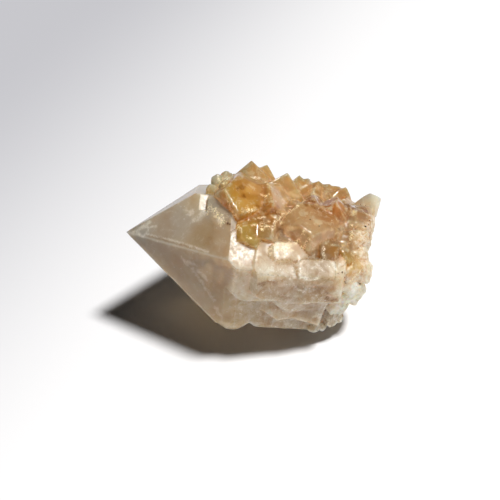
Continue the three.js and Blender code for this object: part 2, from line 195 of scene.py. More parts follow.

# %% [markdown]
# ## The colours of the crystals
# Iron stains spirit quartz from outside, so the colour depends on where a crystal grew: deep amber in the
# middle of the crown, yellow at the shoulder, orange and brown towards the root, and pale grey in the front,
# where the crystals are clean and milky. One colour for each crystal would look like a toy. So named tints
# are set down at places on the specimen, and every spot takes a mix of the ones that lie nearest. Two of
# them are painted light and shade instead of stain: the glow in the bright foot and the shade in a dark gap.

# %% Tints and where they lie
# name: (mm behind the tip, way, mm from the axis, how far it reaches in mm, colour)
POINT_TINTS = {
    "smoky tip": (3, 40, 2, 4, (0.44, 0.42, 0.37)),
    "smoky point": (10, 30, 7, 7, (0.53, 0.46, 0.36)),
    "brown patch": (17, 47, 13.2, 4, (0.47, 0.34, 0.19)),
    "pale shoulder": (14.5, 12, 11, 3, (0.62, 0.51, 0.35)),
    "smoky under": (14, 95, 11, 9, (0.64, 0.50, 0.335)),
    "brown under": (20, 88, 15, 5, (0.63, 0.44, 0.24)),
    "smoky back": (14, 270, 8, 12, (0.50, 0.44, 0.36)),
    "smoky foot": (22, 50, 17, 4, (0.60, 0.46, 0.30)),
    "narrow face": (10, -25, 7, 3.5, (0.42, 0.37, 0.30)),
    "pale foot": (25.5, 79, 18.5, 3.5, (0.85, 0.72, 0.53)),
    "lobe side": (22.5, 107, 17, 4, (0.76, 0.60, 0.38)),
}
TINTS = {
    "peak": (25, -17, 18, 5, (0.68, 0.42, 0.19)),
    "second peaks": (31, -14, 18, 5, (0.76, 0.48, 0.21)),
    "third peak": (34, -2, 15.7, 3, (0.90, 0.66, 0.38)),
    "deep amber": (24, 26, 18, 5, (0.74, 0.35, 0.03)),
    "amber heart": (30, 28, 18, 3, (0.50, 0.19, 0.02)),
    "amber foot": (26, 46, 18, 3, (0.74, 0.52, 0.15)),
    "shoulder yellow": (19.5, -12, 15.5, 3, (1.0, 0.90, 0.61)),
    "shoulder brown": (20.5, 14, 16, 2.5, (0.66, 0.42, 0.14)),
    "beige": (37, 40, 19.5, 5, (0.84, 0.57, 0.31)),
    "orange": (42.5, 22, 19.5, 4, (0.60, 0.23, 0.05)),
    "brown": (48.5, 15, 16.5, 4, (0.32, 0.12, 0.02)),
    # painted shade in the gap between two crystals
    "dark gap": (38.7, 10, 17, 3, (0.45, 0.16, 0.04)),
    "ridge": (39, -26, 15, 6, (0.76, 0.44, 0.20)),
    "corner": (51.5, 0, 14.5, 3.5, (0.92, 0.81, 0.63)),
    "brown wedge": (44.2, 51, 19.6, 2.5, (0.52, 0.25, 0.06)),
    "honey": (47.5, 58, 20, 4, (0.67, 0.40, 0.09)),
    "beside the root": (44.6, 60, 20.3, 3, (0.64, 0.56, 0.42)),
    "second bench": (33.2, 52, 19.2, 3, (0.66, 0.55, 0.38)),
    # painted light: the glow of light that comes through the root's foot
    "bright foot": (41, 114, 17.5, 5, (1.0, 0.90, 0.72)),
    "milky steps": (29, 66, 19, 5, (0.71, 0.60, 0.43)),
    "third bench": (40, 60, 20.5, 4, (0.42, 0.32, 0.20)),
    "milky front": (34.5, 79, 20, 5, (0.65, 0.525, 0.375)),
    "below the third bench": (40, 78, 20.4, 3, (0.58, 0.41, 0.22)),
    "brown front": (41, 92, 18, 5, (0.53, 0.40, 0.27)),
    "front foot": (34, 122, 18, 8, (0.80, 0.64, 0.46)),
    "lobe": (24, 109, 17.5, 5, (0.81, 0.665, 0.41)),
    "root": (49.2, 37, 18, 5, (0.70, 0.51, 0.29)),
    "pale root": (48.6, 76, 18.6, 5, (1.0, 0.91, 0.72)),
    "root end": (54, 120, 6, 9, (0.78, 0.64, 0.42)),
    "root foot": (45, 108, 17, 6, (1.0, 0.86, 0.65)),
    "back": (34, 270, 16, 12, (0.74, 0.53, 0.29)),
    "back top": (36, 320, 15, 9, (0.72, 0.44, 0.17)),
    "under": (35, 190, 16, 12, (0.58, 0.46, 0.32)),
    "root back": (50, 240, 12, 9, (0.72, 0.56, 0.34)),
}
SHARPNESS = 4  # how quickly a nearer tint wins over one further off
SPREAD = 0.05  # how soft the mix stays right at a tint's own place


def tint_at(points, tints):
    """The mix of tints at each point, as linear colours."""
    total = np.zeros((len(points), 3))
    weights = np.zeros(len(points))
    for *spot, reach, colour in tints.values():
        weight = 1 / (SPREAD + (away_from(points, spot) / reach) ** SHARPNESS)
        total += weight[:, None] * np.array(colour)
        weights += weight
    return total / weights[:, None]


crystal_tint = tint_at(crystal_middle, TINTS)
print("tints:", len(POINT_TINTS) + len(TINTS), "mixed over", crystal_count, "crystals")

# %% [markdown]
# ## The crystal skin
# The solid's faces are long thin triangles, which can't be bent. Blender's sharp remesh rebuilds them as
# small even faces and keeps every edge of the crystals where it was. A voxel remesh would round the edges
# off and make the quartz look like wax.

# %% Remeshing a copy
CELL = 0.32 * MM  # the size of the new faces
DEPTH = 8  # the remesh grid has 2 to this power cells along its side


def even_copy(source, name, size):
    """A new object with the source's shape in small even faces."""
    copy = bpy.data.objects.new(name, source.data.copy())
    bpy.context.collection.objects.link(copy)
    remesh = copy.modifiers.new("even faces", "REMESH")
    remesh.mode = "SHARP"
    remesh.octree_depth = DEPTH
    remesh.scale = max(source.dimensions) / (size * 2**DEPTH)
    shape = bpy.data.meshes.new_from_object(copy.evaluated_get(bpy.context.evaluated_depsgraph_get()))
    copy.modifiers.clear()
    copy.data = shape
    shape.name = name
    return copy


def vectors(items, key):
    """One vector of each vertex or face, such as its place or its normal, as rows."""
    values = np.empty(len(items) * 3)
    items.foreach_get(key, values)
    return values.reshape(-1, 3)


skin = even_copy(solid, "crystal_skin", CELL)
skin_points = vectors(skin.data.vertices, "co")
skin_normals = vectors(skin.data.vertices, "normal")
skin_middles = vectors(skin.data.polygons, "center")
print("skin:", len(skin_points), "vertices,", len(skin_middles), "faces")

# %% Which crystal each face is on
solid_surface = BVHTree.FromBMesh(sorted_mesh)
nearest = np.array([solid_surface.find_nearest(Vector(middle))[2] for middle in skin_middles])
owner = crystal_of[nearest]
facet = facet_of[nearest]
large = owner == np.argmax(crystal_area)
print("owners:", len(set(owner)), "crystals show;", int(large.sum()), "faces on the large point")

# %% [markdown]
# ## Relief
# Natural quartz is never as crisp as its drawing. Its edges are chipped and worn, its front is a mosaic of
# small blocks that grew almost parallel, and the break at the root is crumbly. All three are made by moving
# the vertices along their normals: inwards on sharp edges, and in or out by whole cells of a Voronoi pattern,
# each tilted as one block. A slight ripple is added, which makes the reflections wander. Last, each vertex is
# moved part of the way to its neighbours, which rounds the small crystals as years of weather do.

# %% Noise, and a surface broken into blocks
BLOCK_SEED = 7  # vector noise is otherwise seeded with the time, and the blocks would tilt anew in each run
noise.seed_set(BLOCK_SEED)


def wander(points, size, seed, octaves=3):
    """Fractal noise at each point, about -1 to 1. The features are `size` metres across."""
    shift = Vector((seed * 17.3, seed * 5.1, seed * 9.7))
    return np.array([noise.fractal(Vector(point) / size + shift, 0.8, 2.0, octaves) for point in points])


def blocks(points, size):
    """The push of a surface broken into tilted blocks, about -1 to 1 at each point."""
    pushes = []
    for point in points:
        here = Vector(point) / size
        seed = noise.voronoi(here)[1][0]
        tilt = noise.noise_vector(seed * 7.3)
        pushes.append(noise.noise(seed * 3.7) * 1.4 + tilt.dot(here - seed) * 1.6)
    return np.clip(pushes, -1.2, 1.2)


print("blocks: the push at the tip is", blocks([place(0, 0, 0)], MM).round(2))


# %% Neighbours on a mesh
def edge_ends(mesh):
    """The two vertices of every edge, and how many edges meet at each vertex, at least 1."""
    ends = np.empty(len(mesh.edges) * 2, int)
    mesh.edges.foreach_get("vertices", ends)
    meeting = np.maximum(np.bincount(ends, minlength=len(mesh.vertices)), 1)
    return *ends.reshape(-1, 2).T, meeting


def bend(mesh):
    """How much the surface curves at each vertex, per mm: above 0 on edges, below 0 in grooves."""
    one, other, meeting = edge_ends(mesh)
    points = vectors(mesh.vertices, "co") / MM
    normals = vectors(mesh.vertices, "normal")
    apart = points[other] - points[one]
    spread = np.sum((normals[other] - normals[one]) * apart, axis=1)
    turn = spread / np.maximum(np.sum(apart**2, axis=1), 1e-6)
    return (np.bincount(one, turn, len(points)) + np.bincount(other, turn, len(points))) / meeting


def soften(points, mesh, share, times):
    """Move each vertex a share of the way to the middle of its neighbours, several times over."""
    one, other, meeting = edge_ends(mesh)
    for _ in range(times):
        sums = [
            np.bincount(one, column[other], len(column)) + np.bincount(other, column[one], len(column))
            for column in points.T
        ]
        points = points + share[:, None] * (np.stack(sums, axis=1) / meeting[:, None] - points)
    return points


def to_vertices(mesh, values):
    """Values of faces, averaged over the faces round each vertex."""
    sizes = np.empty(len(mesh.polygons), int)
    mesh.polygons.foreach_get("loop_total", sizes)
    corners = np.empty(len(mesh.loops), int)
    mesh.loops.foreach_get("vertex_index", corners)
    total = np.bincount(corners, np.repeat(values, sizes), len(mesh.vertices))
    return total / np.maximum(np.bincount(corners, minlength=len(mesh.vertices)), 1)


curve = bend(skin.data)
on_point = to_vertices(skin.data, large)
print("bend: from", round(curve.min(), 1), "in the grooves to", round(curve.max(), 1), "on the edges")

# %% Where the edges, the root and the front are
EDGE_BEND = (0.3, 1.4)  # the bend, per mm, at which an edge starts to count and counts in full
GROOVE_BEND = (-0.2, -1.1)  # the same for a groove
# where the broken root begins, as way: mm behind the tip
ROOT_BORDER = {-180: 46, -40: 50, 10: 52.3, 25: 50.3, 40: 47.5, 60: 49, 80: 46, 100: 43.5, 125: 40, 180: 44}
ROOT_RAGGED = 0.8  # how far the border strays from that line, in mm
ROOT_RAGGED_SIZE = 4 * MM  # and the size of its curves
ROOT_FADE = 1.2  # how far the root fades on either side of the border, in mm
WHOLE_CRYSTAL = (52, -3, 15)  # one crystal at the top of the root isn't broken, and stays smooth
WHOLE_CRYSTAL_SIZE = (2.5, 4.5)  # mm from there to where breaking starts and is complete
FRONT_START = (23, 25)  # mm behind the tip, where the front sets in
FRONT_TOP = (50, 58)  # the ways where it sets in below the crown
FRONT_FOOT = (170, 150)  # and the ways where it ends, under the specimen


def past_border(along, way):
    """How many mm a place is past the line where the root broke off."""
    return along - np.interp(way, list(ROOT_BORDER), list(ROOT_BORDER.values()))


along, way, _ = ruler(skin_points)
edge = smooth(*EDGE_BEND, curve)
groove = smooth(*GROOVE_BEND, curve)
past_root = past_border(along, way) + ROOT_RAGGED * wander(skin_points, ROOT_RAGGED_SIZE, 5)
off_whole = smooth(*WHOLE_CRYSTAL_SIZE, away_from(skin_points, WHOLE_CRYSTAL))
root = smooth(-ROOT_FADE, ROOT_FADE, past_root) * off_whole
front = smooth(*FRONT_START, along) * smooth(*FRONT_TOP, way) * smooth(*FRONT_FOOT, way) * (1 - root)
print("vertices: root", int((root > 0.5).sum()), "front", int((front > 0.5).sum()))

# %% Pushing vertices in and out
RIPPLE = 0.02 * MM  # slight waves in every face
RIPPLE_SIZE = 3 * MM
WEAR = 0.06 * MM  # how far sharp edges are worn back
CHIP = 1.2 * MM  # the length of the chips along them
MOSAIC = 0.12 * MM  # how far the blocks of the front stand in or out
MOSAIC_BLOCK = 3.4 * MM  # the size of those blocks
CRUMBLE = 0.2 * MM  # the same two for the broken root
CRUMB = 1.0 * MM
SLIGHT = 0.02  # where a mask is weaker than this, its noise isn't worked out

push = RIPPLE * wander(skin_points, RIPPLE_SIZE, 1)
worn = edge > 0.1
push[worn] -= WEAR * edge[worn] * (0.6 + 0.8 * wander(skin_points[worn], CHIP, 2))
stepped = front > SLIGHT
push[stepped] += MOSAIC * front[stepped] * blocks(skin_points[stepped], MOSAIC_BLOCK)
broken = root > SLIGHT
push[broken] += CRUMBLE * root[broken] * blocks(skin_points[broken], CRUMB)
push[broken] += 0.6 * CRUMBLE * root[broken] * blocks(skin_points[broken], CRUMB / 2)
print("relief: up to", round(np.abs(push).max() / MM, 2), "mm")

# %% Rounding, and back onto the mesh
ROUNDING = 0.45  # the share of the way to its neighbours that a vertex is moved
FRONT_ROUNDING = 0.6  # the far part of the front is worn more
FRONT_WORN = (30, 32)  # mm behind the tip
CREASE = math.radians(50)  # edges that bend by more than this stay crisp

small_crystals = (1 - on_point) * (1 - front) * (1 - root)
moved = skin_points + skin_normals * push[:, None]
moved = soften(moved, skin.data, ROUNDING * (1 - 0.5 * root) * (1 - 0.7 * on_point), 2)
moved = soften(moved, skin.data, ROUNDING * small_crystals, 3)
moved = soften(moved, skin.data, FRONT_ROUNDING * front * smooth(*FRONT_WORN, along), 6)
moved[:, 2] = np.maximum(moved[:, 2], 0)
skin.data.vertices.foreach_set("co", moved.ravel())
skin.data.update()
skin.data.shade_smooth()
skin.data.set_sharp_from_angle(angle=CREASE)
print("rounding: up to", round(np.linalg.norm(moved - skin_points, axis=1).max() / MM, 2), "mm in all")

# %% [markdown]
# ## Painting the mesh
# A shader could guess where the amber crystals are, but it can't know one crystal from the next. So what was
# worked out about them is stored on the mesh as attributes, which the material reads by name. What belongs to
# a crystal or a facet is kept on the faces, so that it changes exactly at an edge. What fades is kept on the
# vertices.

# %% Where the amber crown lies
# how far round the crown reaches at the front, as mm behind the tip: way
CROWN_BORDER = {14: -20, 19: 12, 22: 38, 24.5: 46, 27: 53, 31: 50, 33: 47, 38: 49, 45: 54, 46: 62, 50: 62}
CROWN_BACK = -130  # and how far round it reaches at the back

middle_along, middle_way, _ = ruler(crystal_middle)
crown_front = np.interp(middle_along, list(CROWN_BORDER), list(CROWN_BORDER.values()))
in_crown = (middle_way < crown_front) & (middle_way > CROWN_BACK) & (crystal_area < crystal_area.max())
middles_along, middles_way, middles_out = ruler(skin_middles)
crown = in_crown[owner] * smooth(1, -1, past_border(middles_along, middles_way))
print("crown:", int(in_crown.sum()), "crystals,", int((crown > 0.5).sum()), "faces")

# %% Where the etched sides glitter
# name: (mm behind the tip, way, mm from the axis, how far it reaches in mm, how strongly)
GLITTER = {
    "first step": (25, 52, 18.4, 4.6, 1),
    "second step": (32.2, 52, 18.8, 3.2, 0.8),
    "third step": (40.4, 59, 20.7, 5, 0.25),
    "ledge": (16.3, 11, 12, 2.8, 0.85),
}
BENCH_WAY = 31  # the way that the flat tops of the front's steps face
LEVEL = 0.93  # a face that faces it at least this directly is part of one

etched = np.zeros(len(skin_middles))
for *spot, reach, strength in GLITTER.values():
    etched = np.maximum(etched, strength * smooth(reach, 0.6 * reach, away_from(skin_middles, spot)))
benches = (facing(face_normal, BENCH_WAY)[nearest] > LEVEL) & ~in_crown[owner]
etched *= benches
print("glitter on", int((etched > 0.3).sum()), "faces")

# %% A tint for every face
OWN_TINT = 0.25  # the share of a crystal's tint that is the same all over it

dice = np.random.default_rng(7)
crystal_shade = 0.93 + 0.14 * dice.random(crystal_count)
facet_luck = dice.random(facet_count)[facet]
tint = OWN_TINT * crystal_tint[owner] + (1 - OWN_TINT) * tint_at(skin_middles, TINTS)
tint[large] = tint_at(skin_middles[large], POINT_TINTS)
tint *= (crystal_shade[owner] * np.where(large, 1, 0.95 + 0.1 * facet_luck))[:, None]
print("tints: from", tint.min(axis=0).round(2), "to", tint.max(axis=0).round(2))

# %% The foot of each crystal, and the painted lighter side of each facet
FOOT = (0.5, 4.5)  # mm below a crystal's own tip where its foot begins, and where it is all foot

# each crystal is smokier at its tip, and has a painted glow of gathered light at its foot
crystal_top = np.full(crystal_count, -np.inf)
np.maximum.at(crystal_top, owner, middles_out)
foot = smooth(*FOOT, crystal_top[owner] - middles_out)

# painted refraction shade: a facet is lighter towards one random side, as light bent through it would make it
lighter_side = dice.normal(size=(facet_count, 3))
lighter_side /= np.linalg.norm(lighter_side, axis=1)[:, None]
towards_light = np.sum((skin_middles - facet_middle[facet]) * lighter_side[facet], axis=1)
sheen = np.clip(0.5 + 0.6 * towards_light / np.sqrt(facet_area[facet]), 0, 1)
print("foot:", int((foot > 0.5).sum()), "faces; sheen: mean", round(sheen.mean(), 2))

# %% [markdown]
# ## Veils, sparks and cracks, with painted light and shade
# A veil is a sheet of tiny bubbles inside the quartz, and it looks like a milky wisp or a bright streak. The
# same table holds painted highlights, such as a white glint and light lines along edges, and a painted glow
# where light comes through the pale root. In the amber crown, sparks of gold are painted light, where light
# gathers at the joints. Cracks are dark where rusty water stood in them, and their table also paints shade
# into gaps and along edges. Where all these lie is part of this specimen's character, and no noise would put
# them there, so each one is a short line of places on the ruler. A vertex is painted by how near it is to the
# line, and noise frays the line's border.

# %% Veils, with painted highlights and glow
# name: (its width in mm, how ragged it is in mm, its places as (mm behind the tip, way, mm from the axis))
VEILS_AND_PAINTED_LIGHT = {
    "long veil": (
        0.3, 0.7,
        [(13, 76, 10), (14.5, 82, 10.8), (16.1, 86, 11.9), (17.8, 93, 13), (18.9, 98, 14)],
    ),
    "veil foot": (0.35, 0.9, [(18.9, 98, 14), (20.1, 104, 15.2), (21.6, 111, 16.8)]),
    "veil head": (0.4, 0.8, [(14.5, 77, 10.5), (16, 77, 12)]),
    "veil middle": (0.35, 0.6, [(17, 82, 12.5), (18.5, 85, 13.5)]),
    "tip feather": (0.3, 0.15, [(4.5, 63, 3.7), (3.2, 42, 2.4), (4, 21, 2.3), (5.9, 11, 4)]),
    "second feather": (0.25, 0.15, [(2.2, 42, 1.6), (4.5, 25, 3), (7.1, 28, 5.2)]),
    "third feather": (0.25, 0.15, [(4.6, 55, 4), (5.6, 36, 4), (5.3, 20, 4)]),
    "upper ridge": (
        0.2, 0.15,
        [(5.8, 51, 3.9), (9, 54, 6.7), (12.2, 56, 9.5), (15.7, 58, 12.7), (18.4, 59, 15.2)],
    ),
    # painted highlight along the prism's edge
    "prism edge": (0.26, 0.3, [(24.2, 69, 19.3), (24, 83, 17.9)]),
    "slant": (0.6, 0.5, [(14.8, 30, 10.8), (16, 27, 11.8), (17.3, 23, 12.6)]),
    "above the slant": (0.5, 1.0, [(13.2, 14, 9.6), (14.2, 20, 10.2)]),
    # painted highlight
    "white glint": (0.55, 0.1, [(20, 34, 14.5), (20.5, 33, 15)]),
    # the next three are painted highlights along the steps' edges
    "step foot": (0.45, 0.15, [(22.5, 60, 19), (23.5, 63, 19.5), (25, 66, 20)]),
    "second step streaks": (0.3, 0.2, [(32, 54, 19.5), (32, 58, 20)]),
    "third step side": (0.25, 0.1, [(36.5, 54, 19.5), (37, 65, 22), (39, 66, 22), (40.5, 65, 22)]),
    "crack edge": (0.25, 0.2, [(35.4, 69, 20.9), (36.9, 74, 20.4), (38.2, 74, 20.7)]),
    "step corner": (0.4, 0.4, [(35.5, 63, 20.5), (36, 66, 21.5)]),
    # painted glow of light that comes through the pale root from behind
    "pale root": (1.6, 1.5, [(48.7, 80, 17.5), (47.5, 90, 17.5), (46, 100, 17)]),
    "lower spots": (0.55, 0.8, [(41, 98, 18.5), (42.5, 97, 18.5)]),
    "root spot": (0.5, 0.6, [(46, 80, 19.5), (46.5, 74, 18.5)]),
    "bright end": (0.5, 0.6, [(43.5, 57, 20.5), (44, 61, 20.5)]),
}
print("veils:", len(VEILS_AND_PAINTED_LIGHT))

# %% Sparks of painted light in the amber crown
SPARKS = {
    "lower arc": (0.25, 0.2, [(27, 33, 17), (28.5, 32, 18), (29, 32, 18)]),
    "long arc": (0.25, 0.2, [(26.5, 38, 17.5), (28.5, 36, 17.5), (30, 35, 18.5)]),
    "pale patch": (0.6, 0.6, [(25.5, 29, 18.5), (26.5, 28, 18)]),
    "joint": (0.4, 0.25, [(31, 37, 19), (31.5, 35, 19), (32, 32, 18), (32.5, 27, 17.5)]),
    "second joint": (0.3, 0.25, [(32, 36, 17.5), (33, 29, 16.5), (34, 23, 16.5)]),
    "peak joint": (0.3, 0.3, [(34, 27, 18.5), (34.5, 25, 18.5), (35.5, 22, 18.5), (37, 10, 15.5)]),
    "peak glint": (0.3, 0.2, [(28.5, -7, 15.5), (29, 8, 18.5)]),
    "peak spots": (0.4, 0.6, [(26, -4, 16.5), (27, -8, 16)]),
    "shoulder speckles": (0.7, 1.6, [(17.6, 21, 12.8), (19, 26, 14), (20.6, 33, 15.2)]),
    "left crystals": (0.5, 0.8, [(19.3, -9, 14.1), (20.9, -7, 15.5), (20.6, 6, 16.8)]),
    "above the second bench": (0.9, 1.2, [(31.3, 51, 18.8), (34.3, 49, 18.4)]),
    "zigzag": (0.25, 0.5, [(28, 15, 17.5), (28.5, 17, 18), (29.5, 16, 18.5)]),
    "foot sparkle": (0.4, 0.9, [(28.5, 40, 18), (29.5, 38, 18.5), (30.5, 39, 19)]),
    "shoulder glint": (0.35, 0.3, [(24, 39, 17), (24, 41, 18)]),
    "foot line": (0.25, 0.2, [(26, 46, 18.5), (27, 47, 18.5)]),
    "side of the front crystal": (0.3, 0.3, [(21, 20, 18), (22, 27, 17), (23, 32, 17), (24.5, 30, 18.5)]),
    "top of the orange one": (0.3, 0.3, [(42, 9, 16.5), (45.5, -1, 14.5)]),
    "gap top": (0.3, 0.3, [(36.5, 8, 15), (38, 7, 16.5), (39.5, 10, 16.5)]),
    "beige spark": (0.3, 0.3, [(41.5, 48, 19.5), (41.5, 52, 20)]),
    "beige streaks": (0.3, 0.5, [(35.5, 47, 18), (36.5, 43, 19.5), (37, 40, 20.5)]),
    "lower beige streak": (0.3, 0.5, [(37, 49, 19), (38, 45, 20.5)]),
    "honey edge": (0.35, 0.2, [(47.5, 67, 19), (50, 58, 19)]),
    "root seam": (0.35, 0.3, [(46.5, 43, 18), (47, 39, 18.5), (47, 32, 18)]),
}
print("sparks:", len(SPARKS))

# %% Cracks, and painted shade in gaps and along edges
CRACKS_AND_SHADE = {
    # painted shade: the next three are dark lines along the large point's ridge and edges
    "ridge shade": (0.4, 0.1, [(6, 54, 4.1), (9, 57, 6.8), (12.2, 58.5, 9.6), (16, 59.5, 13)]),
    "upper edge": (0.25, 0.1, [(14.8, 1, 12), (11.6, -5, 8.7), (8.4, -25, 5.8), (4, -28, 2.6)]),
    "tip edge": (0.25, 0.2, [(0.5, 0, 0.3), (3, 3, 1.6), (5.5, 2, 3.2)]),
    "crown foot": (0.35, 0.5, [(21.8, 37, 16.1), (23.4, 45, 17.4), (25, 50, 18)]),
    "amber arc": (0.4, 0.4, [(23, 14, 18), (24, 12, 18)]),
    "amber speck": (0.4, 0.2, [(24.5, 18, 18), (24.5, 19, 18)]),
    # painted shade in the crown: the next two
    "amber shade": (0.9, 1.4, [(28.5, 25, 17.5), (30, 28, 18.5), (31.5, 28, 18)]),
    "foot shade": (0.5, 0.6, [(31.5, 41, 18), (32.5, 37, 17)]),
    # painted shade in the gaps between crystals: the next two
    "gap": (0.5, 0.5, [(37, 20, 18), (38, 15, 17.5), (39, 17, 17)]),
    "second gap": (0.5, 0.5, [(38.5, 21, 18.5), (40, 23, 18.5)]),
    "orange foot": (0.5, 0.6, [(44.5, 36, 19), (46, 36, 18)]),
    "triangle side": (0.22, 0.1, [(35.5, 69, 21), (36.5, 73, 20.5)]),
    "brown facet": (0.4, 0.6, [(29, 73, 20), (30.5, 70, 20.5), (32.5, 71, 20.5)]),
    "root crack": (0.25, 0.3, [(45, 62, 21), (46, 61, 21), (46.5, 64, 20), (46.5, 68, 19.5)]),
    "small crack": (0.25, 0.2, [(42.5, 73, 20.5), (43, 74, 20.5)]),
    "brown pits": (0.5, 0.8, [(43, 79, 20), (44.5, 81, 20)]),
    "root foot": (0.2, 0.2, [(40.5, 113, 18), (41.5, 100, 19)]),
    "step side": (0.25, 0.1, [(22.5, 43, 17), (23, 60, 19)]),
}
print("cracks:", len(CRACKS_AND_SHADE))

# %% Painting the lines
RIDGE = [(0, 61, 0), (3, 61, 3), (8, 61, 8), (14, 61, 13), (18, 61, 17), (21.6, 61, 19.4)]
RAGGED_SIZE = 1.4 * MM  # the size of the frays
FIRST_SEED = 10  # the first line's noise has this seed, and the next lines have the ones after it


def near_line(line, width, ragged, seed):
    """How near each vertex is to a line on the surface: 1 on it, and 0 past about one width and a half."""
    knots = np.array([solid_surface.find_nearest(place(*knot))[0] for knot in line])
    best = np.full(len(skin_points), np.inf)
    for start, end in zip(knots[:-1], knots[1:]):
        step = end - start
        part = np.clip((skin_points - start) @ step / (step @ step), 0, 1)
        best = np.minimum(best, np.linalg.norm(skin_points - start - part[:, None] * step, axis=1))
    best = best / MM
    close = best < width * 3 + ragged
    best[close] += ragged * wander(skin_points[close], RAGGED_SIZE, seed)
    return smooth(width * 1.5, 0.3 * width, best)


def near_lines(lines):
    """The strongest of several lines at each vertex."""
    near = []
    for seed, (width, ragged, line) in enumerate(lines.values(), FIRST_SEED):
        near.append(near_line(line, width, ragged, seed))
    return np.max(near, axis=0)


ridge = near_line(RIDGE, 0.3, 0.12, 3)
veil = near_lines(VEILS_AND_PAINTED_LIGHT)
spark = near_lines(SPARKS)
crack = near_lines(CRACKS_AND_SHADE)
print("painted vertices:", [int((values > 0.5).sum()) for values in (ridge, veil, spark, crack)])


# %% Storing it all on the mesh
def store(mesh, name, values):
    """Numbers or colours kept on the mesh under a name, one for each vertex or one for each face."""
    domain = "POINT" if len(values) == len(mesh.vertices) else "FACE"
    if values.ndim == 2:
        layer = mesh.attributes.new(name, "FLOAT_COLOR", domain)
        rgba = np.ones((len(values), 4), np.float32)
        rgba[:, :3] = values
        layer.data.foreach_set("color", rgba.ravel())
    else:
        layer = mesh.attributes.new(name, "FLOAT", domain)
        layer.data.foreach_set("value", values.astype(np.float32))


FACE_MASKS = {
    "large": large * 1.0,
    "crown": crown,
    "bench": benches * 1.0,
    "etched": etched,
    "facet": facet_luck,
    "foot": foot,
    "sheen": sheen,
}
VERTEX_MASKS = {
    "along": along,
    "root": root,
    "front": front,
    "edge": edge,
    "groove": groove,
    "ridge": ridge,
    "veil": veil,
    "spark": spark,
    "crack": crack,
}
store(skin.data, "tint", tint)
for name, values in (FACE_MASKS | VERTEX_MASKS).items():
    store(skin.data, name, values)
print("attributes:", [layer.name for layer in skin.data.attributes])

# %% [markdown]
# ## Writing shader maths as Python
# A material is a graph of nodes. Adding them by hand takes three lines for every sum. Wrapping a socket in a
# small class lets an expression such as `1 - mask * 0.5` build its own Math nodes, so that a finish reads
# like a formula. Colours go through Mix nodes instead, because a Math node would turn them grey.


# %% A graph of nodes
class Graph:
    """The nodes of one material."""

    def __init__(self, name):
        self.material = bpy.data.materials.new(name)
        self.material.use_nodes = True
        self.tree = self.material.node_tree
        self.tree.nodes.clear()

    def node(self, kind, settings=None, output=0, **sockets):
        """Any node: its type, its settings, and its sockets' values or links, by name or as i0, i1, ..."""
        made = self.tree.nodes.new(kind)
        for key, value in (settings or {}).items():
            setattr(made, key, value)
        for key, value in sockets.items():
            numbered = key[0] == "i" and key[1:].isdigit()
            socket = made.inputs[int(key[1:]) if numbered else key.replace("_", " ")]
            if isinstance(value, Socket):
                self.tree.links.new(value.socket, socket)
            else:
                socket.default_value = value
        return Socket(self, made.outputs[output]) if made.outputs else None

    def read(self, name):
        """A number that is stored on the mesh."""
        return self.node("ShaderNodeAttribute", {"attribute_name": name}, output=2)

    def read_colour(self, name):
        """A colour that is stored on the mesh."""
        return self.node("ShaderNodeAttribute", {"attribute_name": name}, output=0)

    def vector(self, operation, *values, output=0, **sockets):
        """Vector maths."""
        numbered = {f"i{n}": value for n, value in enumerate(values)}
        return self.node("ShaderNodeVectorMath", {"operation": operation}, output, **numbered, **sockets)

    def mix(self, factor, first, second, blend="MIX"):
        """Two colours mixed by a factor."""
        first, second = [c if isinstance(c, Socket) else (*c, 1) for c in (first, second)]
        settings = {"data_type": "RGBA", "blend_type": blend}
        return self.node("ShaderNodeMix", settings, output=2, i0=factor, i6=first, i7=second)

    def stain(self, factor, colour, by):
        """A colour darkened by another, as glass is by a stain on it."""
        return self.mix(factor, colour, by, "MULTIPLY")


print("a graph can be made")


# %% A socket that does arithmetic
class Socket:
    """One output of a node. Sums with it make Math nodes."""

    def __init__(self, graph, socket):
        self.graph = graph
        self.socket = socket

    def math(self, operation, *others, reflected=False):
        """A Math node on this socket and others, or on the others first where the sum is reflected."""
        values = (*others, self) if reflected else (self, *others)
        numbered = {f"i{n}": value for n, value in enumerate(values)}
        return self.graph.node("ShaderNodeMath", {"operation": operation}, **numbered)

    def __add__(self, other):
        return self.math("ADD", other)

    def __sub__(self, other):
        return self.math("SUBTRACT", other)

    def __mul__(self, other):
        return self.math("MULTIPLY", other)

    def __rsub__(self, other):
        return self.math("SUBTRACT", other, reflected=True)

    __radd__ = __add__
    __rmul__ = __mul__

    def step(self, low, high):
        """0 below low and 1 above high, with a smooth ramp between. It falls where low is the larger."""
        settings = {"interpolation_type": "SMOOTHSTEP"}
        return self.graph.node("ShaderNodeMapRange", settings, Value=self, From_Min=low, From_Max=high)

    def second(self):
        """The second output of the same node."""
        return Socket(self.graph, self.socket.node.outputs[1])


print("a socket can be added, taken away, multiplied and stepped")

# %% [markdown]
# ## What the quartz is made of
# Quartz is clear, but this specimen is full of tiny cracks and bubbles, and shows its far side only as
# patches with straight borders. Modelling all of that inside would be slow to render and hard to steer. So
# the inside is painted: clouds of four sizes, bands of growth, Voronoi panes and thin seams are mixed into
# the tints, each in the part of the specimen where it belongs.

